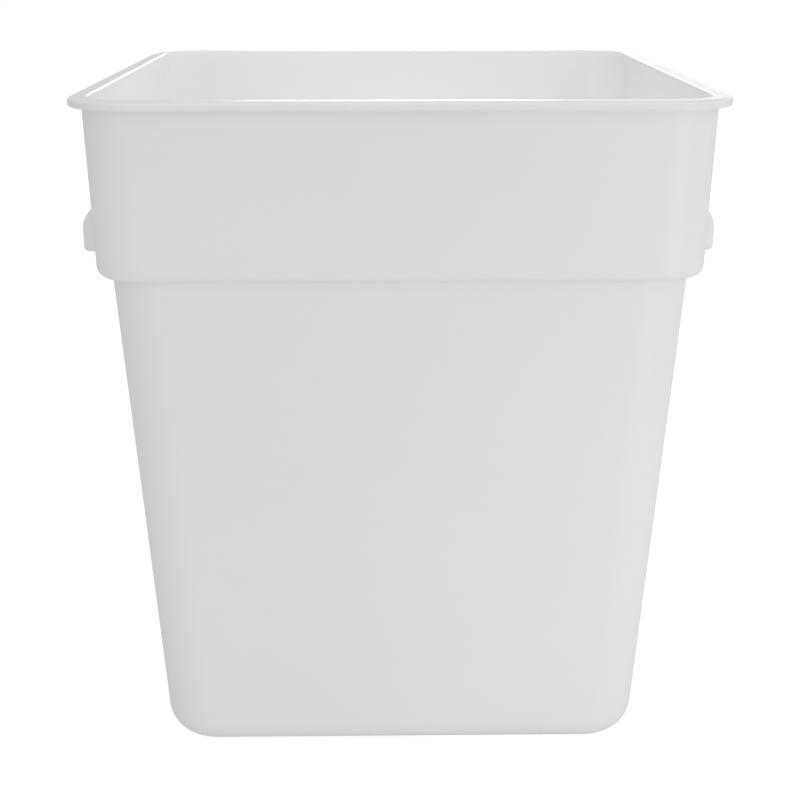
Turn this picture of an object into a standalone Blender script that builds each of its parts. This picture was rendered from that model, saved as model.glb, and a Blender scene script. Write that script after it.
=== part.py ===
"""Square polyethylene mixing tub, about 17 litres, with two moulded side handles.

The tub is one injection moulding, so nothing on it is fastened and nothing moves. It is
drawn as its moulded zones, one object each: the floor panel, the heel ring that it
stands on, the tapered lower wall, the step ledge, the collar wall, the rim flange and
the left and right handles. Each zone stops a hair short of its neighbour.

Units are metres and +Z is up. The origin is the middle of the base, on the ground.
The handles stand on the -X and +X sides.
"""

import math

import bmesh
import bpy

MM = 0.001

# Driving dimensions
RIM_SIDE = 285.75 * MM
TUB_HEIGHT = 320.7 * MM
HANDLE_SPAN = 301.2 * MM
COLLAR_HEIGHT = 78.5 * MM
BASE_SIDE = 233.8 * MM
WALL = 2.6 * MM
GAP = 0.3 * MM

# Rim flange
RIM_THICKNESS = 4.1 * MM
RIM_OVERHANG = 5.8 * MM
RIM_CORNER = 30 * MM
RIM_LEVEL_WIDTH = 3 * MM
RIM_FALL = 0.7 * MM
RIM_TOP_ROUND = 1.0 * MM
RIM_UNDER_ROUND = 0.9 * MM

# Collar wall and step ledge
COLLAR_DRAFT = 1.5 * MM
COLLAR_CORNER = 24 * MM
COLLAR_ROUND = 4 * MM
LEDGE_STEP = 5.5 * MM
LEDGE_HEIGHT = 9 * MM
LEDGE_NOSE_ROUND = 1.2 * MM
LEDGE_FILLET = 2.4 * MM

# Lower wall, heel ring and floor panel
LOWER_CORNER = 25 * MM
HEEL_ROUND = 16 * MM
HEEL_FILLET = 13 * MM
HEEL_HEIGHT = 22 * MM
FOOT_INNER_HALF = 96 * MM
FOOT_INNER_CORNER = 12 * MM
FLOOR_RECESS = 1.2 * MM
FLOOR_THICKNESS = 2.8 * MM

# Handles
HANDLE_LENGTH = 138 * MM
HANDLE_HEIGHT = 23.4 * MM
HANDLE_TOP_ROUND = 12.5 * MM
HANDLE_LIP_ROUND = 2.5 * MM
CUT_MARGIN = 5 * MM

# Facets
CORNER_STEPS = 10
HEEL_STEPS = 7
EDGE_STEPS = 4
HANDLE_STEPS = 8
SHARP_ANGLE = math.radians(30)

# Worked out from the above
RIM_HALF = RIM_SIDE / 2
RIM_UNDERSIDE_Z = TUB_HEIGHT - RIM_THICKNESS
COLLAR_BOTTOM_Z = TUB_HEIGHT - COLLAR_HEIGHT
COLLAR_TOP_HALF = RIM_HALF - RIM_OVERHANG
COLLAR_BOTTOM_HALF = COLLAR_TOP_HALF - COLLAR_DRAFT
COLLAR_SLOPE = COLLAR_DRAFT / (RIM_UNDERSIDE_Z - COLLAR_BOTTOM_Z)
LEDGE_SPLIT_Z = COLLAR_BOTTOM_Z + LEDGE_HEIGHT
LEDGE_TOP_Z = COLLAR_BOTTOM_Z + WALL
LOWER_TOP_HALF = COLLAR_BOTTOM_HALF - LEDGE_STEP
LOWER_BASE_HALF = BASE_SIDE / 2
LOWER_SLOPE = (LOWER_TOP_HALF - LOWER_BASE_HALF) / COLLAR_BOTTOM_Z
FLOOR_TOP_Z = FLOOR_RECESS + FLOOR_THICKNESS


def polyethylene():
    """The white, satin plastic that the whole tub is moulded from."""
    material = bpy.data.materials.new("white_polyethylene")
    material.use_nodes = True
    shader = material.node_tree.nodes["Principled BSDF"]
    shader.inputs["Base Color"].default_value = (0.88, 0.88, 0.87, 1.0)
    shader.inputs["Roughness"].default_value = 0.38
    shader.inputs["Metallic"].default_value = 0.0
    return material


def collar_half(z):
    """Half the collar's outer width at height z."""
    return COLLAR_BOTTOM_HALF + (z - COLLAR_BOTTOM_Z) * COLLAR_SLOPE


def lower_half(z):
    """Half the lower wall's outer width at height z."""
    return LOWER_BASE_HALF + z * LOWER_SLOPE


def arc(centre, radius, start, end, steps):
    """Profile points (half width, height) round a centre, between two angles in degrees."""
    points = []
    for step in range(steps + 1):
        angle = math.radians(start + (end - start) * step / steps)
        half = centre[0] + radius * math.cos(angle)
        z = centre[1] + radius * math.sin(angle)
        points.append((half, z))
    return points


def square_loop(bm, half, corner, z):
    """A level loop of vertices round a square with rounded corners."""
    loop = []
    for quarter in range(4):
        turn = quarter * math.pi / 2
        middle_x = (half - corner) * (1 if quarter in (0, 3) else -1)
        middle_y = (half - corner) * (1 if quarter in (0, 1) else -1)
        for step in range(CORNER_STEPS + 1):
            angle = turn + step / CORNER_STEPS * math.pi / 2
            x = middle_x + corner * math.cos(angle)
            y = middle_y + corner * math.sin(angle)
            loop.append(bm.verts.new((x, y, z)))
    return loop


def join_loops(bm, first, second):
    """A band of quads between two loops of the same length."""
    count = len(first)
    for i in range(count):
        after = (i + 1) % count
        bm.faces.new((first[i], first[after], second[after], second[i]))


def make_object(name, bm, material, parent):
    """One named object from a bmesh, with outward faces and smooth rounds."""
    bmesh.ops.recalc_face_normals(bm, faces=bm.faces)
    mesh = bpy.data.meshes.new(name)
    bm.to_mesh(mesh)
    bm.free()
    mesh.materials.append(material)
    mesh.shade_smooth()
    mesh.set_sharp_from_angle(angle=SHARP_ANGLE)
    made = bpy.data.objects.new(name, mesh)
    made.parent = parent
    bpy.context.scene.collection.objects.link(made)
    return made


def ring_zone(name, profile, corner_at, material, parent):
    """A zone that runs all the way round the tub, from its closed wall section.

    corner_at gives the corner radius of the loop at a point of the profile.
    """
    bm = bmesh.new()
    loops = [square_loop(bm, half, corner_at(half, z), z) for half, z in profile]
    for i, loop in enumerate(loops):
        join_loops(bm, loop, loops[(i + 1) % len(loops)])
    return make_object(name, bm, material, parent)


def rim_corner(half, z):
    """The rim's corners share their centres with its outer edge."""
    return RIM_CORNER - (RIM_HALF - half)


def collar_corner(half, z):
    return COLLAR_CORNER - (collar_half(z) - half)


def lower_corner(half, z):
    return LOWER_CORNER - (lower_half(z) - half)


def ledge_corner(half, z):
    """The nose shares its corners with the lower wall, and the rest with the collar."""
    past_nose = half - (LOWER_TOP_HALF - WALL)
    if past_nose < 1.5 * LEDGE_NOSE_ROUND:
        return LOWER_CORNER - WALL + past_nose
    return collar_corner(half, z)


def make_rim_flange(material, parent):
    """The flange round the mouth. It is level along the inside, then falls a little."""
    inner = COLLAR_TOP_HALF - WALL
    under_centre = (RIM_HALF - RIM_UNDER_ROUND, RIM_UNDERSIDE_Z + RIM_UNDER_ROUND)
    outer_centre = (RIM_HALF - RIM_TOP_ROUND, TUB_HEIGHT - RIM_FALL - RIM_TOP_ROUND)
    inner_centre = (inner + RIM_TOP_ROUND, TUB_HEIGHT - RIM_TOP_ROUND)
    profile = [(inner, RIM_UNDERSIDE_Z)]
    profile += arc(under_centre, RIM_UNDER_ROUND, -90, 0, EDGE_STEPS)
    profile += arc(outer_centre, RIM_TOP_ROUND, 0, 90, EDGE_STEPS)
    profile += [(inner_centre[0] + RIM_LEVEL_WIDTH, TUB_HEIGHT)]
    profile += arc(inner_centre, RIM_TOP_ROUND, 90, 180, EDGE_STEPS)
    return ring_zone("rim_flange", profile, rim_corner, material, parent)


def make_collar_wall(material, parent):
    """The upper wall, from the step ledge to the underside of the rim."""
    bottom = LEDGE_SPLIT_Z + GAP
    top = RIM_UNDERSIDE_Z - GAP
    profile = [
        (collar_half(bottom), bottom),
        (collar_half(top), top),
        (collar_half(top) - WALL, top),
        (collar_half(bottom) - WALL, bottom),
    ]
    return ring_zone("collar_wall", profile, collar_corner, material, parent)


def make_step_ledge(material, parent):
    """The step where the tub widens: a rounded edge outside and a shelf inside."""
    lean = math.degrees(math.atan(COLLAR_SLOPE))
    edge_z = COLLAR_BOTTOM_Z + COLLAR_ROUND
    edge_half = collar_half(edge_z) - COLLAR_ROUND / math.cos(math.radians(lean))
    nose_half = LOWER_TOP_HALF - WALL
    nose_centre = (nose_half + LEDGE_NOSE_ROUND, LEDGE_TOP_Z - LEDGE_NOSE_ROUND)
    fillet_z = LEDGE_TOP_Z + LEDGE_FILLET
    fillet_centre = (collar_half(fillet_z) - WALL - LEDGE_FILLET, fillet_z)
    profile = [(collar_half(LEDGE_SPLIT_Z), LEDGE_SPLIT_Z)]
    profile += arc((edge_half, edge_z), COLLAR_ROUND, -lean, -90, EDGE_STEPS)
    profile += [(nose_half, COLLAR_BOTTOM_Z)]
    profile += arc(nose_centre, LEDGE_NOSE_ROUND, 180, 90, EDGE_STEPS)
    profile += arc(fillet_centre, LEDGE_FILLET, -90, 0, EDGE_STEPS)
    profile += [(collar_half(LEDGE_SPLIT_Z) - WALL, LEDGE_SPLIT_Z)]
    return ring_zone("step_ledge", profile, ledge_corner, material, parent)


def make_lower_wall(material, parent):
    """The tapered wall between the heel ring and the step ledge."""
    bottom = HEEL_HEIGHT + GAP
    top = COLLAR_BOTTOM_Z - GAP
    profile = [
        (lower_half(bottom), bottom),
        (lower_half(top), top),
        (lower_half(top) - WALL, top),
        (lower_half(bottom) - WALL, bottom),
    ]
    return ring_zone("lower_wall", profile, lower_corner, material, parent)


def heel_corner(half, z):
    """Corner radius of the heel: it eases to the foot's own radius at the inner edge."""
    if half <= FOOT_INNER_HALF:
        return FOOT_INNER_CORNER
    return lower_corner(half, z)


def make_heel_ring(material, parent):
    """The rounded bottom edge. Its flat underside is the band that the tub stands on."""
    lean = math.degrees(math.atan(LOWER_SLOPE))
    lean_cos = math.cos(math.radians(lean))
    outer_centre = (lower_half(HEEL_ROUND) - HEEL_ROUND / lean_cos, HEEL_ROUND)
    fillet_z = FLOOR_TOP_Z + HEEL_FILLET
    fillet_half = lower_half(fillet_z) - (WALL + HEEL_FILLET) / lean_cos
    profile = [(lower_half(HEEL_HEIGHT), HEEL_HEIGHT)]
    profile += arc(outer_centre, HEEL_ROUND, -lean, -90, HEEL_STEPS)
    profile += [(FOOT_INNER_HALF, 0), (FOOT_INNER_HALF, FLOOR_TOP_Z)]
    profile += arc((fillet_half, fillet_z), HEEL_FILLET, -90, -lean, HEEL_STEPS)
    profile += [(lower_half(HEEL_HEIGHT) - WALL, HEEL_HEIGHT)]
    return ring_zone("heel_ring", profile, heel_corner, material, parent)


def make_floor_panel(material, parent):
    """The flat floor, raised a little so that the tub stands on the heel ring."""
    half = FOOT_INNER_HALF - GAP
    corner = FOOT_INNER_CORNER - GAP
    bm = bmesh.new()
    under = square_loop(bm, half, corner, FLOOR_RECESS)
    upper = square_loop(bm, half, corner, FLOOR_TOP_Z)
    join_loops(bm, under, upper)
    bm.faces.new(under)
    bm.faces.new(upper)
    return make_object("floor_panel", bm, material, parent)


def extrude_section(name, section, length, material, parent):
    """A straight bar along Y, centred on Y = 0, from its (x, z) section."""
    bm = bmesh.new()
    near = [bm.verts.new((x, -length / 2, z)) for x, z in section]
    far = [bm.verts.new((x, length / 2, z)) for x, z in section]
    join_loops(bm, near, far)
    bm.faces.new(near)
    bm.faces.new(far)
    return make_object(name, bm, material, parent)


def handle_section():
    """Outer section of the right handle: a rounded top and an upright lip."""
    bottom = COLLAR_BOTTOM_Z
    top = COLLAR_BOTTOM_Z + HANDLE_HEIGHT
    outer = HANDLE_SPAN / 2
    round_centre = (outer - HANDLE_TOP_ROUND, top - HANDLE_TOP_ROUND)
    lip_centre = (outer - HANDLE_LIP_ROUND, bottom + HANDLE_LIP_ROUND)
    section = [(collar_half(top) + GAP, top)]
    section += arc(round_centre, HANDLE_TOP_ROUND, 90, 0, HANDLE_STEPS)
    section += arc(lip_centre, HANDLE_LIP_ROUND, 0, -90, EDGE_STEPS)
    section += [(collar_half(bottom) + GAP, bottom)]
    return section


def grip_section():
    """Section of the hollow under the right handle, open below and towards the collar."""
    under = COLLAR_BOTTOM_Z - CUT_MARGIN
    top = COLLAR_BOTTOM_Z + HANDLE_HEIGHT - WALL
    outer = HANDLE_SPAN / 2 - WALL
    radius = HANDLE_TOP_ROUND - WALL
    section = [(COLLAR_BOTTOM_HALF - CUT_MARGIN, top)]
    section += arc((outer - radius, top - radius), radius, 90, 0, HANDLE_STEPS)
    section += [(outer, under), (COLLAR_BOTTOM_HALF - CUT_MARGIN, under)]
    return section


def mirrored(section, side):
    return [(side * x, z) for x, z in section]


def make_handle(name, side, material, parent):
    """A moulded cup handle on one side of the collar, hollow for the fingers."""
    handle = extrude_section(
        name, mirrored(handle_section(), side), HANDLE_LENGTH, material, parent
    )
    grip = extrude_section(
        name + "_grip_cutter",
        mirrored(grip_section(), side),
        HANDLE_LENGTH - 2 * WALL,
        material,
        parent,
    )
    grip.hide_render = True
    grip.display_type = "WIRE"
    cut = handle.modifiers.new("finger_grip", "BOOLEAN")
    cut.operation = "DIFFERENCE"
    cut.solver = "EXACT"
    cut.object = grip
    return handle


def main():
    for existing in list(bpy.data.objects):
        bpy.data.objects.remove(existing)
    tub = bpy.data.objects.new("tub", None)
    bpy.context.scene.collection.objects.link(tub)
    plastic = polyethylene()
    make_floor_panel(plastic, tub)
    make_heel_ring(plastic, tub)
    make_lower_wall(plastic, tub)
    make_step_ledge(plastic, tub)
    make_collar_wall(plastic, tub)
    make_rim_flange(plastic, tub)
    make_handle("left_handle", -1, plastic, tub)
    make_handle("right_handle", 1, plastic, tub)


main()
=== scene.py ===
"""Looks of the square mixing tub: fine meshes in white polyethylene, in soft studio light.

The tub is one moulding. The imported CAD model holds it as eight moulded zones, and each
zone gets one fine mesh here. A zone's mesh has the CAD zone's size, finer rounds, the
small fillets that a moulding has at its inner corners, and it reaches its neighbours.

Units are metres and +Z is up. The camera stands on the -Y side.
"""

import math

import bmesh
import bpy
from mathutils import Matrix, Vector


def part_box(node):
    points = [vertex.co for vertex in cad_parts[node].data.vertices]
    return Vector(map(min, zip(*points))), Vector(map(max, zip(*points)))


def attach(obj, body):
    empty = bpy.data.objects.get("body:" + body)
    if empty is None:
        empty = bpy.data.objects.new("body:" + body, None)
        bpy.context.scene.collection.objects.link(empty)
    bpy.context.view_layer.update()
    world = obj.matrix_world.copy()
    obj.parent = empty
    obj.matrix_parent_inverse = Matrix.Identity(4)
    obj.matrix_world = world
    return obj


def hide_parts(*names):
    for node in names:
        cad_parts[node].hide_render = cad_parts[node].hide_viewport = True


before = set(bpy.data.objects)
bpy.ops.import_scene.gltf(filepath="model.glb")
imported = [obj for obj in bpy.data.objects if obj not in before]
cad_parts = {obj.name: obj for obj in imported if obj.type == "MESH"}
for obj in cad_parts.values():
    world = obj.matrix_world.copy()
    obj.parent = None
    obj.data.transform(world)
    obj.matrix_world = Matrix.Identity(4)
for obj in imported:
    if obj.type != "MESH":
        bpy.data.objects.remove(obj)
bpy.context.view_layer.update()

MM = 0.001

# Sizes of the CAD zones
RIM_LOW, RIM_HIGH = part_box("rim_flange")
COLLAR_LOW, COLLAR_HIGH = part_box("collar_wall")
LEDGE_LOW, LEDGE_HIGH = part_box("step_ledge")
WALL_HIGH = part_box("lower_wall")[1]
HEEL_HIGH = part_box("heel_ring")[1]
FLOOR_LOW, FLOOR_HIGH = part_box("floor_panel")
HANDLE_LOW, HANDLE_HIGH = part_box("right_handle")

# Heights at which one zone meets the next
RIM_TOP = RIM_HIGH.z
RIM_UNDER = RIM_LOW.z
LEDGE_TOP = LEDGE_HIGH.z
LEDGE_UNDER = LEDGE_LOW.z
HEEL_TOP = HEEL_HIGH.z

# Slopes of the outer faces, in metres of half width per metre of height
COLLAR_SLOPE = (COLLAR_HIGH.x - LEDGE_HIGH.x) / (COLLAR_HIGH.z - LEDGE_HIGH.z)
LOWER_SLOPE = (WALL_HIGH.x - HEEL_HIGH.x) / (WALL_HIGH.z - HEEL_HIGH.z)

# The moulding's own details
WALL = 2.6 * MM
GAP = COLLAR_LOW.z - LEDGE_HIGH.z
RIM_CORNER = 30 * MM
RIM_LEVEL_WIDTH = 3 * MM
RIM_FALL = 0.7 * MM
RIM_TOP_ROUND = 1.0 * MM
RIM_UNDER_ROUND = 0.9 * MM
RIM_SINK = 0.1 * MM
RIM_SINK_WIDTH = 0.8 * MM
RIM_FILLET = 1.4 * MM
COLLAR_CORNER = 24 * MM
COLLAR_ROUND = 4 * MM
LEDGE_NOSE_ROUND = 1.2 * MM
LEDGE_NOSE_WIDTH = 1.5 * LEDGE_NOSE_ROUND
LEDGE_FILLET = 2.4 * MM
LEDGE_SHELF = 2.6 * MM
LOWER_CORNER = 25 * MM
LOWER_FILLET = 0.9 * MM
HEEL_ROUND = 16 * MM
HEEL_FILLET = 13 * MM
FOOT_CORNER = 12 * MM
FOOT_EDGE_ROUND = 0.5 * MM
HANDLE_TOP_ROUND = 12.5 * MM
HANDLE_LIP_ROUND = 2.3 * MM
HANDLE_LIP_INNER_ROUND = 0.2 * MM
HANDLE_END_ROUND = 1.5 * MM
HANDLE_LEAST_CORNER = 0.2 * MM
HANDLE_ROOT_FILLET = 1.4 * MM
HANDLE_INNER_FILLET = 0.3 * MM
HANDLE_ROOT_SINK = 0.2 * MM
HANDLE_SPINE_REACH = 2.5 * MM
FLOOR_CIRCLE_SHARE = 0.3
GATE_DIMPLE_RADIUS = 11 * MM
GATE_DIMPLE_DEPTH = 0.5 * MM
GATE_NUB_RADIUS = 3 * MM
GATE_NUB_HEIGHT = 0.6 * MM
GATE_STEPS = 24

# How far the cooled walls sink in at the middle of a side
LOWER_BOW = 0.45 * MM
COLLAR_BOW = 0.2 * MM

# Fineness
CORNER_STEPS = 20
SIDE_STEPS = 20
WALL_STEPS = 24
RIM_STEPS = 20
ROUND_STEPS = 8
FLAT_STEPS = 8
SHORT_STEPS = 4
HANDLE_SIDE_STEPS = 6
HANDLE_REACH_STEPS = 5
SHARP_ANGLE = math.radians(32)

# Colours
CLOUD_DARK = (0.885, 0.885, 0.883)
CLOUD_LIGHT = (0.905, 0.905, 0.903)
SPECK_COLOUR = (0.62, 0.61, 0.59)

# Patterns in the plastic, in features a metre, and its finish. A speck's core and faded
# edge are radii in cells of its pattern
CLOUDS_PER_METRE = 7.0
SPECKS_PER_METRE = 40.0
SPECK_CORE = 0.006
SPECK_EDGE = 0.014
GLOSS_PATCHES_PER_METRE = 45.0
GRAINS_PER_METRE = 420.0
GRAIN_DEPTH = 0.05 * MM
GRAIN_STRENGTH = 0.25
ROUGHNESS = (0.36, 0.42)
REFRACTIVE_INDEX = 1.52

# A noise texture's values hardly leave this band
NOISE_LOW, NOISE_HIGH = 0.3, 0.7

# The floor is pale and glows a little. The camera sees it whiter than it lights the tub
FLOOR_SIZE = 60
FLOOR_COLOUR = (0.7, 0.7, 0.7)
FLOOR_GLOW = (0.145, 0.145, 0.145)
SEEN_FLOOR_COLOUR = (0.3, 0.3, 0.3)
SEEN_FLOOR_GLOW = (0.85, 0.85, 0.85)

# The sky is brighter in front of the tub, and the camera sees it white
SKY_COLOUR = (0.46, 0.46, 0.46)
FRONT_SKY_COLOUR = (0.95, 0.95, 0.95)
SEEN_SKY_COLOUR = (1.0, 1.0, 1.0)
FRONT = Vector((0, -1, 0))

# Softboxes: name, place, size, and power in watts
SOFTBOXES = (
    ("top", (0, 0, 1.3), (0.8, 0.8), 2.4),
    ("low_right", (0.42, -0.55, 0.14), (0.3, 0.3), 0.37),
    ("right", (1.6, 0.4, 0.95), (0.8, 0.4), 3.2),
    ("window", (0.5, 1.7, 0.62), (0.8, 0.4), 1.9),
    ("back", (0, 1.7, 0.68), (0.5, 0.3), 3.0),
)

# The lamp inside the tub
INSIDE_PLACE = (0.015, 0, 0.2)
INSIDE_RADIUS = 0.06
INSIDE_POWER = 0.178

# Camera: place, heading in degrees, and lens
CAMERA_PLACE = Vector((-0.0092, -0.7192, 0.3833))
CAMERA_YAW = 0.83
CAMERA_PITCH = 18.38
CAMERA_LENS_MM = 62.2
SENSOR_MM = 36


# ---------------------------------------------------------------- profiles and loops


def collar_half(z):
    """Half the collar's outer width at height z."""
    return LEDGE_HIGH.x + (z - LEDGE_HIGH.z) * COLLAR_SLOPE


def lower_half(z):
    """Half the lower wall's outer width at height z."""
    return HEEL_HIGH.x + (z - HEEL_HIGH.z) * LOWER_SLOPE


def arc(centre, radius, start, end, steps=ROUND_STEPS):
    """Profile points (half width, height) round a centre, between two angles in degrees."""
    points = []
    for step in range(steps + 1):
        angle = math.radians(start + (end - start) * step / steps)
        half = centre[0] + radius * math.cos(angle)
        z = centre[1] + radius * math.sin(angle)
        points.append((half, z))
    return points


def eased(steps):
    """Shares from 0 to 1 that lie closer together near both ends, without the ends."""
    return [(1 - math.cos(math.pi * k / steps)) / 2 for k in range(1, steps)]


def straight(start, end, steps):
    """Points between two profile points, closer together near both, without the ends."""
    return [
        (start[0] + (end[0] - start[0]) * t, start[1] + (end[1] - start[1]) * t)
        for t in eased(steps)
    ]


def bow(x, y, z):
    """The point after the cooled walls have sunk in between the tub's stiff edges."""
    if z < LEDGE_UNDER:
        height = (z - HEEL_TOP) / (LEDGE_UNDER - HEEL_TOP)
        depth = LOWER_BOW
    else:
        height = (z - LEDGE_TOP) / (RIM_UNDER - LEDGE_TOP)
        depth = COLLAR_BOW
    if not 0 < height < 1:
        return (x, y, z)
    depth *= math.sin(math.pi * height) ** 2
    if abs(x) > abs(y):
        depth *= (1 - (y / x) ** 2) ** 2
        return (x - math.copysign(depth, x), y, z)
    depth *= (1 - (x / y) ** 2) ** 2
    return (x, y - math.copysign(depth, y), z)


def square_outline(half, corner):
    """Points round a square with rounded corners."""
    flat = half - corner
    outline = []
    for quarter in range(4):
        turn = Matrix.Rotation(quarter * math.pi / 2, 2)
        for step in range(CORNER_STEPS + 1):
            angle = step / CORNER_STEPS * math.pi / 2
            x = flat + corner * math.cos(angle)
            y = flat + corner * math.sin(angle)
            outline.append(turn @ Vector((x, y)))
        for t in eased(SIDE_STEPS):
            outline.append(turn @ Vector((flat - 2 * flat * t, half)))
    return outline


def square_loop(bm, half, corner, z):
    """A level loop of vertices round a square with rounded corners."""
    return [bm.verts.new(bow(x, y, z)) for x, y in square_outline(half, corner)]


def join_loops(bm, first, second):
    """A band of quads between two loops of the same length."""
    count = len(first)
    for i in range(count):
        after = (i + 1) % count
        bm.faces.new((first[i], first[after], second[after], second[i]))


def finish_piece(name, bm, node, material):
    """One smooth closed piece that stands for a CAD zone."""
    bmesh.ops.recalc_face_normals(bm, faces=bm.faces)
    mesh = bpy.data.meshes.new(name)
    bm.to_mesh(mesh)
    bm.free()
    mesh.materials.append(material)
    mesh.shade_smooth()
    mesh.set_sharp_from_angle(angle=SHARP_ANGLE)
    piece = bpy.data.objects.new(name, mesh)
    bpy.context.scene.collection.objects.link(piece)
    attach(piece, "root")
    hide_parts(node)
    return piece


def ring_piece(name, node, profile, corner_at, material):
    """A piece that runs all the way round the tub, from its closed wall section."""
    bm = bmesh.new()
    loops = [square_loop(bm, half, corner_at(half, z), z) for half, z in profile]
    for i, loop in enumerate(loops):
        join_loops(bm, loop, loops[(i + 1) % len(loops)])
    return finish_piece(name, bm, node, material)


# ---------------------------------------------------------------- zones of the tub


def rim_corner(half, z):
    """The rim's corners share their centres with its outer edge."""
    return RIM_CORNER - (RIM_HIGH.x - half)


def collar_corner(half, z):
    """The collar's corners share their centres with its outer face."""
    return COLLAR_CORNER - (collar_half(z) - half)


def lower_corner(half, z):
    """The lower wall's corners share their centres with its outer face."""
    return LOWER_CORNER - (lower_half(z) - half)


def ledge_corner(half, z):
    """The nose shares its corners with the lower wall, and the rest with the collar."""
    past_nose = half - (lower_half(LEDGE_UNDER) - WALL)
    if past_nose < LEDGE_NOSE_WIDTH:
        return LOWER_CORNER - WALL + past_nose
    return collar_corner(half, z)


def heel_corner(half, z):
    """The heel's corners ease to the foot's own radius at the inner edge."""
    foot = FLOOR_HIGH.x + GAP
    if half <= foot + FOOT_EDGE_ROUND:
        return FOOT_CORNER + half - foot
    return lower_corner(half, z)


def rim_top_z(half, level_end, edge):
    """Height of the rim's top, which is level inside and falls to its outer edge, with the
    sink line that the thick plastic over the wall leaves in it."""
    past_level = max((half - level_end) / (edge[0] - level_end), 0)
    fall = (RIM_TOP - edge[1]) * past_level**2
    sink = RIM_SINK * math.exp(-(((half - level_end) / RIM_SINK_WIDTH) ** 2))
    return RIM_TOP - fall - sink


def make_rim_flange(material):
    """The flange round the mouth."""
    inner = COLLAR_HIGH.x - WALL
    outer = RIM_HIGH.x
    under_centre = (outer - RIM_UNDER_ROUND, RIM_UNDER + RIM_UNDER_ROUND)
    outer_centre = (outer - RIM_TOP_ROUND, RIM_TOP - RIM_FALL - RIM_TOP_ROUND)
    inner_centre = (inner + RIM_TOP_ROUND, RIM_TOP - RIM_TOP_ROUND)
    level_end = inner_centre[0] + RIM_LEVEL_WIDTH
    edge_slope = math.atan(2 * RIM_FALL / (outer_centre[0] - level_end))
    profile = [(inner, RIM_UNDER)]
    profile += straight(profile[-1], (under_centre[0], RIM_UNDER), FLAT_STEPS)
    profile += arc(under_centre, RIM_UNDER_ROUND, -90, 0)
    profile += arc(outer_centre, RIM_TOP_ROUND, 0, 90 - math.degrees(edge_slope))
    edge = profile[-1]
    for t in eased(RIM_STEPS):
        half = edge[0] + (inner_centre[0] - edge[0]) * t
        profile.append((half, rim_top_z(half, level_end, edge)))
    profile += arc(inner_centre, RIM_TOP_ROUND, 90, 180)
    return ring_piece("rim_flange_skin", "rim_flange", profile, rim_corner, material)


def make_collar_wall(material):
    """The upper wall, which flares into the underside of the rim."""
    fillet_z = RIM_UNDER - RIM_FILLET
    fillet_centre = (collar_half(fillet_z) + RIM_FILLET, fillet_z)
    outer_foot = (collar_half(LEDGE_TOP), LEDGE_TOP)
    inner_foot = (outer_foot[0] - WALL, LEDGE_TOP)
    inner_top = (COLLAR_HIGH.x - WALL, RIM_UNDER)
    profile = [outer_foot]
    fillet = arc(fillet_centre, RIM_FILLET, 180, 90)
    profile += straight(outer_foot, fillet[0], WALL_STEPS)
    profile += fillet
    profile += [inner_top]
    profile += straight(inner_top, inner_foot, WALL_STEPS)
    profile += [inner_foot]
    return ring_piece("collar_wall_skin", "collar_wall", profile, collar_corner, material)


def ledge_profile():
    """Wall section of the step: a rounded edge outside and a shelf inside."""
    lean = math.degrees(math.atan(COLLAR_SLOPE))
    edge_z = LEDGE_UNDER + COLLAR_ROUND
    edge_half = collar_half(edge_z) - COLLAR_ROUND / math.cos(math.radians(lean))
    nose_half = lower_half(LEDGE_UNDER) - WALL
    shelf_z = LEDGE_UNDER + LEDGE_SHELF
    nose_centre = (nose_half + LEDGE_NOSE_ROUND, shelf_z - LEDGE_NOSE_ROUND)
    fillet_z = shelf_z + LEDGE_FILLET
    fillet_centre = (collar_half(fillet_z) - WALL - LEDGE_FILLET, fillet_z)
    outer_top = (collar_half(LEDGE_TOP), LEDGE_TOP)
    inner_top = (outer_top[0] - WALL, LEDGE_TOP)
    edge = arc((edge_half, edge_z), COLLAR_ROUND, -lean, -90)
    nose = arc(nose_centre, LEDGE_NOSE_ROUND, 180, 90)
    fillet = arc(fillet_centre, LEDGE_FILLET, -90, 0)
    profile = [outer_top]
    profile += straight(outer_top, edge[0], SHORT_STEPS)
    profile += edge
    profile += straight(edge[-1], (nose_half, LEDGE_UNDER), FLAT_STEPS)
    profile += [(nose_half, LEDGE_UNDER)]
    profile += nose
    profile += straight(nose[-1], fillet[0], SHORT_STEPS)
    profile += fillet
    profile += straight(fillet[-1], inner_top, SHORT_STEPS)
    profile += [inner_top]
    return profile


def make_step_ledge(material):
    """The step, where the tub widens."""
    return ring_piece("step_ledge_skin", "step_ledge", ledge_profile(), ledge_corner, material)


def make_lower_wall(material):
    """The tapered wall, with a small fillet under the step."""
    lean = math.degrees(math.atan(LOWER_SLOPE))
    fillet_z = LEDGE_UNDER - LOWER_FILLET
    fillet_centre = (lower_half(fillet_z) + LOWER_FILLET, fillet_z)
    outer_foot = (lower_half(HEEL_TOP), HEEL_TOP)
    inner_foot = (outer_foot[0] - WALL, HEEL_TOP)
    inner_top = (lower_half(LEDGE_UNDER) - WALL, LEDGE_UNDER)
    fillet = arc(fillet_centre, LOWER_FILLET, 180 - lean, 90)
    profile = [outer_foot]
    profile += straight(outer_foot, fillet[0], WALL_STEPS)
    profile += fillet
    profile += [inner_top]
    profile += straight(inner_top, inner_foot, WALL_STEPS)
    profile += [inner_foot]
    return ring_piece("lower_wall_skin", "lower_wall", profile, lower_corner, material)


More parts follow.
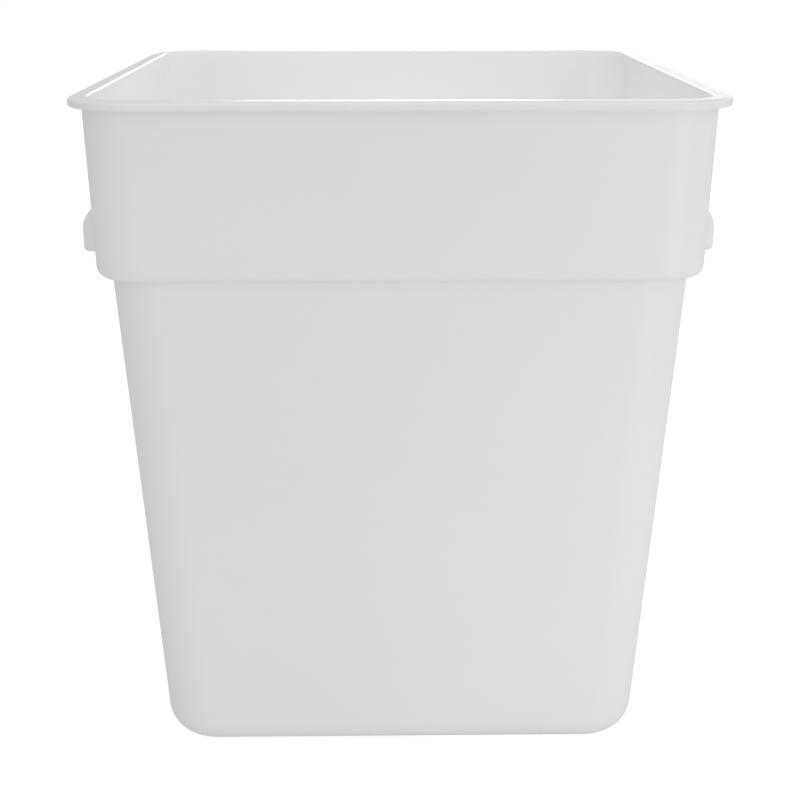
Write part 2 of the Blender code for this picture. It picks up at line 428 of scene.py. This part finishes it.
def make_heel_ring(material):
    """The rounded bottom edge. Its flat underside is the band that the tub stands on."""
    lean = math.degrees(math.atan(LOWER_SLOPE))
    lean_cos = math.cos(math.radians(lean))
    floor_top = FLOOR_HIGH.z
    foot = FLOOR_HIGH.x + GAP
    outer_centre = (lower_half(HEEL_ROUND) - HEEL_ROUND / lean_cos, HEEL_ROUND)
    fillet_z = floor_top + HEEL_FILLET
    fillet_half = lower_half(fillet_z) - (WALL + HEEL_FILLET) / lean_cos
    outer_top = (lower_half(HEEL_TOP), HEEL_TOP)
    inner_top = (outer_top[0] - WALL, HEEL_TOP)
    foot_centre = (foot + FOOT_EDGE_ROUND, FOOT_EDGE_ROUND)
    heel = arc(outer_centre, HEEL_ROUND, -lean, -90, 2 * ROUND_STEPS)
    fillet = arc((fillet_half, fillet_z), HEEL_FILLET, -90, -lean, 2 * ROUND_STEPS)
    profile = [outer_top]
    profile += straight(outer_top, heel[0], SHORT_STEPS)
    profile += heel
    profile += straight(heel[-1], (foot_centre[0], 0), SHORT_STEPS)
    profile += arc(foot_centre, FOOT_EDGE_ROUND, -90, -180)
    profile += [(foot, FLOOR_LOW.z), (foot, floor_top)]
    profile += straight(profile[-1], fillet[0], SHORT_STEPS)
    profile += fillet
    profile += straight(fillet[-1], inner_top, SHORT_STEPS)
    profile += [inner_top]
    return ring_piece("heel_ring_skin", "heel_ring", profile, heel_corner, material)


def floor_loop(bm, half, z):
    """A level loop of the floor: the foot's outline at the edge, a circle in the middle."""
    foot = FLOOR_HIGH.x + GAP
    share = max((half / foot - FLOOR_CIRCLE_SHARE) / (1 - FLOOR_CIRCLE_SHARE), 0)
    loop = []
    for point in square_outline(foot, FOOT_CORNER):
        circle = point.normalized() * half
        x, y = circle.lerp(point * half / foot, share)
        loop.append(bm.verts.new((x, y, z)))
    return loop


def gate_profile(under):
    """Section of the mark that the mould's gate leaves: a shallow dimple with a nub."""
    points = []
    for step in range(1, GATE_STEPS):
        half = GATE_DIMPLE_RADIUS * (1 - step / GATE_STEPS)
        rise = GATE_DIMPLE_DEPTH * (1 - (half / GATE_DIMPLE_RADIUS) ** 2)
        if half < GATE_NUB_RADIUS:
            rise -= GATE_NUB_HEIGHT * math.sqrt(1 - (half / GATE_NUB_RADIUS) ** 2)
        points.append((half, under + rise))
    return points


def make_floor_panel(material):
    """The flat floor, with the gate's mark in the middle of its underside."""
    foot = FLOOR_HIGH.x + GAP
    under = FLOOR_LOW.z
    top = FLOOR_HIGH.z
    rows = straight((GATE_NUB_RADIUS, top), (foot, top), WALL_STEPS)
    rows = [(GATE_NUB_RADIUS, top)] + rows + [(foot, top), (foot, under)]
    rows += straight((foot, under), (GATE_DIMPLE_RADIUS, under), WALL_STEPS)
    rows += [(GATE_DIMPLE_RADIUS, under)] + gate_profile(under)
    bm = bmesh.new()
    loops = [floor_loop(bm, half, z) for half, z in rows]
    for first, second in zip(loops, loops[1:]):
        join_loops(bm, first, second)
    bm.faces.new(loops[0])
    bm.faces.new(loops[-1])
    return finish_piece("floor_panel_skin", bm, "floor_panel", material)


# ---------------------------------------------------------------- handles


def collar_surface(z):
    """Half the collar's outer width at height z, with its rounded bottom edge."""
    edge_z = LEDGE_UNDER + COLLAR_ROUND
    if z >= edge_z:
        return collar_half(z)
    drop = min(edge_z - z, COLLAR_ROUND)
    return collar_half(edge_z) - COLLAR_ROUND + math.sqrt(COLLAR_ROUND**2 - drop**2)


def cup_levels(inset, lip_round, end_round):
    """Levels of the cup's outer (inset 0) or inner face, from the lip up and over the top.

    Each level is (reach in x, half length in y, height, plan corner, fillet direction).
    The fillet direction turns from 0 on the upright ends to 90 degrees on the roof.
    """
    bottom = HANDLE_LOW.z
    top = HANDLE_HIGH.z - inset
    reach = HANDLE_HIGH.x - inset
    length = HANDLE_HIGH.y - inset
    top_round = HANDLE_TOP_ROUND - inset
    outward = -1 if inset else 1
    levels = []
    for step in range(ROUND_STEPS + 1):
        angle = step / ROUND_STEPS * math.pi / 2
        retreat = lip_round * (1 - math.sin(angle)) * outward
        z = bottom + lip_round * (1 - math.cos(angle))
        levels.append((reach - retreat, length - retreat, z, end_round, 0))
    side_bottom = bottom + lip_round
    side_top = top - top_round
    for t in eased(HANDLE_SIDE_STEPS) + [1]:
        z = side_bottom + (side_top - side_bottom) * t
        levels.append((reach, length, z, end_round, 0))
    for step in range(1, 2 * ROUND_STEPS + 1):
        angle = step / (2 * ROUND_STEPS) * math.pi / 2
        z = side_top + top_round * math.sin(angle)
        x = reach - top_round * (1 - math.cos(angle))
        up = max(end_round - (top - z), 0)
        retreat = end_round - math.sqrt(end_round**2 - up**2)
        corner = max(end_round - retreat, HANDLE_LEAST_CORNER)
        levels.append((x, length - retreat, z, corner, math.asin(up / end_round)))
    last_reach, last_length = levels[-1][:2]
    for t in eased(FLAT_STEPS):
        x = last_reach + (HANDLE_SPINE_REACH + collar_surface(top) - last_reach) * t
        y = last_length * (1 - t)
        levels.append((x, y, top, HANDLE_LEAST_CORNER, math.pi / 2))
    return levels


def cup_outline(level, fillet):
    """Points of one level: out from the collar, round a corner, along, and back in."""
    reach, length, z, corner, direction = level
    root = collar_surface(z)
    out = [(-HANDLE_ROOT_SINK, fillet)]
    for step in range(ROUND_STEPS + 1):
        angle = step / ROUND_STEPS * math.pi / 2
        out.append((fillet * (1 - math.cos(angle)), fillet * (1 - math.sin(angle))))
    run = reach - corner - root - fillet
    out += [(fillet + run * t, 0) for t in eased(HANDLE_REACH_STEPS) + [1]]
    quarter = []
    for dx, flare in out:
        y = length + flare * math.cos(direction)
        quarter.append((root + dx, -y, z + flare * math.sin(direction)))
    for step in range(1, ROUND_STEPS + 1):
        angle = step / ROUND_STEPS * math.pi / 2
        x = reach - corner * (1 - math.sin(angle))
        y = length - corner * (1 - math.cos(angle))
        quarter.append((x, -y, z))
    along = [(reach, (2 * t - 1) * (length - corner), z) for t in eased(SIDE_STEPS)]
    back = [(x, -y, z) for x, y, z in reversed(quarter)]
    return quarter + along + back


def cup_face(bm, levels, fillet, side):
    """The grid of one face of the cup, closed over its roof. Returns its rows."""
    rows = []
    for level in levels:
        points = [bow(side * x, y, z) for x, y, z in cup_outline(level, fillet)]
        rows.append([bm.verts.new(point) for point in points])
    for low, high in zip(rows, rows[1:]):
        for i in range(len(low) - 1):
            bm.faces.new((low[i], low[i + 1], high[i + 1], high[i]))
    spine = rows[-1]
    for i in range(len(spine) // 2):
        strip = (spine[i], spine[i + 1], spine[-i - 2], spine[-i - 1])
        bm.faces.new(list(dict.fromkeys(strip)))
    return rows


def make_handle(name, node, side, material):
    """A moulded cup handle, hollow for the fingers and open below."""
    bm = bmesh.new()
    outer_levels = cup_levels(0, HANDLE_LIP_ROUND, HANDLE_END_ROUND)
    inner_levels = cup_levels(WALL, HANDLE_LIP_INNER_ROUND, HANDLE_END_ROUND)
    outer = cup_face(bm, outer_levels, HANDLE_ROOT_FILLET, side)
    inner = cup_face(bm, inner_levels, HANDLE_INNER_FILLET, side)
    for i in range(len(outer[0]) - 1):
        bm.faces.new((outer[0][i], inner[0][i], inner[0][i + 1], outer[0][i + 1]))
    for end in (0, -1):
        for k in range(len(outer) - 1):
            quad = (outer[k][end], outer[k + 1][end], inner[k + 1][end], inner[k][end])
            bm.faces.new(quad)
    bm.faces.new((outer[-1][0], outer[-1][-1], inner[-1][-1], inner[-1][0]))
    return finish_piece(name, bm, node, material)


# ---------------------------------------------------------------- material


def link(tree, start, end):
    """Join an output socket to an input socket."""
    tree.links.new(start, end)


def noise(tree, coordinates, scale, detail=3.0):
    """A noise texture on the object's own coordinates. Scale is in features a metre."""
    node = tree.nodes.new("ShaderNodeTexNoise")
    node.inputs["Scale"].default_value = scale
    node.inputs["Detail"].default_value = detail
    link(tree, coordinates, node.inputs["Vector"])
    return node.outputs["Fac"]


def ramp(tree, value, stops):
    """A colour ramp. Stops are (place, grey or colour)."""
    node = tree.nodes.new("ShaderNodeValToRGB")
    elements = node.color_ramp.elements
    while len(elements) < len(stops):
        elements.new(0.5)
    for element, (place, colour) in zip(elements, stops):
        element.position = place
        if not isinstance(colour, tuple):
            colour = (colour, colour, colour)
        element.color = (*colour, 1)
    link(tree, value, node.inputs["Fac"])
    return node.outputs["Color"]


def spread(tree, value, low, high):
    """A noise value, spread between two other numbers."""
    node = tree.nodes.new("ShaderNodeMapRange")
    node.inputs["From Min"].default_value = NOISE_LOW
    node.inputs["From Max"].default_value = NOISE_HIGH
    node.inputs["To Min"].default_value = low
    node.inputs["To Max"].default_value = high
    link(tree, value, node.inputs["Value"])
    return node.outputs["Result"]


def mix(tree, share, first, second):
    """Two colours mixed by a share, which is a socket. A colour is a socket or a tuple."""
    node = tree.nodes.new("ShaderNodeMix")
    node.data_type = "RGBA"
    for name, value in (("Factor", share), ("A", first), ("B", second)):
        socket = [s for s in node.inputs if s.name == name and s.enabled][-1]
        if isinstance(value, tuple):
            socket.default_value = (*value, 1)
        else:
            link(tree, value, socket)
    return [s for s in node.outputs if s.enabled][-1]


def polyethylene():
    """White satin polyethylene: faint cloudiness, rare dark specks, a fine moulded skin."""
    material = bpy.data.materials.new("white_polyethylene")
    material.use_nodes = True
    tree = material.node_tree
    shader = tree.nodes["Principled BSDF"]
    place = tree.nodes.new("ShaderNodeTexCoord").outputs["Object"]

    cloudiness = noise(tree, place, CLOUDS_PER_METRE, 2.0)
    cloud = ramp(tree, cloudiness, [(NOISE_LOW, CLOUD_DARK), (NOISE_HIGH, CLOUD_LIGHT)])
    specks = tree.nodes.new("ShaderNodeTexVoronoi")
    specks.inputs["Scale"].default_value = SPECKS_PER_METRE
    link(tree, place, specks.inputs["Vector"])
    near = ramp(tree, specks.outputs["Distance"], [(SPECK_CORE, 1.0), (SPECK_EDGE, 0.0)])
    shade = mix(tree, near, cloud, SPECK_COLOUR)
    link(tree, shade, shader.inputs["Base Color"])

    patches = noise(tree, place, GLOSS_PATCHES_PER_METRE)
    link(tree, spread(tree, patches, *ROUGHNESS), shader.inputs["Roughness"])
    bump = tree.nodes.new("ShaderNodeBump")
    bump.inputs["Strength"].default_value = GRAIN_STRENGTH
    bump.inputs["Distance"].default_value = GRAIN_DEPTH
    link(tree, noise(tree, place, GRAINS_PER_METRE, 4.0), bump.inputs["Height"])
    link(tree, bump.outputs["Normal"], shader.inputs["Normal"])
    shader.inputs["IOR"].default_value = REFRACTIVE_INDEX
    return material


# ---------------------------------------------------------------- studio


def make_floor():
    """A plain pale floor, wide enough to fill the frame behind the tub."""
    bpy.ops.mesh.primitive_plane_add(size=FLOOR_SIZE)
    floor = bpy.context.object
    floor.name = "studio_floor"
    material = bpy.data.materials.new("studio_floor")
    material.use_nodes = True
    tree = material.node_tree
    shader = tree.nodes["Principled BSDF"]
    shader.inputs["Roughness"].default_value = 0.9
    shader.inputs["Specular IOR Level"].default_value = 0.0
    shader.inputs["Emission Strength"].default_value = 1.0
    seen = tree.nodes.new("ShaderNodeLightPath").outputs["Is Camera Ray"]
    link(tree, mix(tree, seen, FLOOR_COLOUR, SEEN_FLOOR_COLOUR), shader.inputs["Base Color"])
    link(tree, mix(tree, seen, FLOOR_GLOW, SEEN_FLOOR_GLOW), shader.inputs["Emission Color"])
    floor.data.materials.append(material)


def make_sky():
    """Light from all round, brighter from the front, and a white backdrop for the camera."""
    world = bpy.data.worlds.new("studio")
    world.use_nodes = True
    tree = world.node_tree
    direction = tree.nodes.new("ShaderNodeTexCoord").outputs["Generated"]
    front = tree.nodes.new("ShaderNodeVectorMath")
    front.operation = "DOT_PRODUCT"
    front.inputs[1].default_value = FRONT
    link(tree, direction, front.inputs[0])
    sky = mix(tree, front.outputs["Value"], SKY_COLOUR, FRONT_SKY_COLOUR)
    seen = tree.nodes.new("ShaderNodeLightPath").outputs["Is Camera Ray"]
    colour = mix(tree, seen, sky, SEEN_SKY_COLOUR)
    link(tree, colour, tree.nodes["Background"].inputs["Color"])
    bpy.context.scene.world = world


def add_lamp(data):
    """A lamp that the camera doesn't see."""
    lamp = bpy.data.objects.new(data.name, data)
    lamp.visible_camera = False
    bpy.context.scene.collection.objects.link(lamp)
    return lamp


def softbox(name, place, target, size, power):
    """A rectangular area lamp that faces a point."""
    data = bpy.data.lights.new(name, "AREA")
    data.shape = "RECTANGLE"
    data.size, data.size_y = size
    data.energy = power
    lamp = add_lamp(data)
    lamp.location = place
    lamp.rotation_euler = (target - place).to_track_quat("-Z", "Y").to_euler()


def inside_lamp():
    """A soft lamp inside the tub that stands for the light that comes through its walls."""
    data = bpy.data.lights.new("inside", "POINT")
    data.energy = INSIDE_POWER
    data.shadow_soft_size = INSIDE_RADIUS
    lamp = add_lamp(data)
    lamp.location = INSIDE_PLACE
    lamp.visible_glossy = False


def make_lights():
    """The sky, the lamp inside the tub, and softboxes that face the tub's middle."""
    middle = Vector((0, 0, RIM_TOP / 2))
    make_sky()
    inside_lamp()
    for name, place, size, power in SOFTBOXES:
        softbox(name, Vector(place), middle, size, power)


def make_camera():
    """The camera at the photograph's viewing angle."""
    data = bpy.data.cameras.new("camera")
    data.lens = CAMERA_LENS_MM
    data.sensor_width = SENSOR_MM
    data.clip_start = 0.01
    camera = bpy.data.objects.new("camera", data)
    tilt = Matrix.Rotation(math.radians(90 - CAMERA_PITCH), 4, "X")
    heading = Matrix.Rotation(math.radians(-CAMERA_YAW), 4, "Z")
    camera.matrix_world = Matrix.Translation(CAMERA_PLACE) @ heading @ tilt
    bpy.context.scene.collection.objects.link(camera)
    bpy.context.scene.camera = camera


def set_view():
    """Plain colour management, so that white plastic keeps its own brightness."""
    settings = bpy.context.scene.view_settings
    settings.view_transform = "Standard"
    settings.look = "None"


def main():
    """Build the tub's pieces and the studio round them."""
    make_camera()
    plastic = polyethylene()
    make_floor_panel(plastic)
    make_heel_ring(plastic)
    make_lower_wall(plastic)
    make_step_ledge(plastic)
    make_collar_wall(plastic)
    make_rim_flange(plastic)
    make_handle("left_handle_skin", "left_handle", -1, plastic)
    make_handle("right_handle_skin", "right_handle", 1, plastic)
    make_floor()
    make_lights()
    set_view()


main()
bpy.context.view_layer.update()
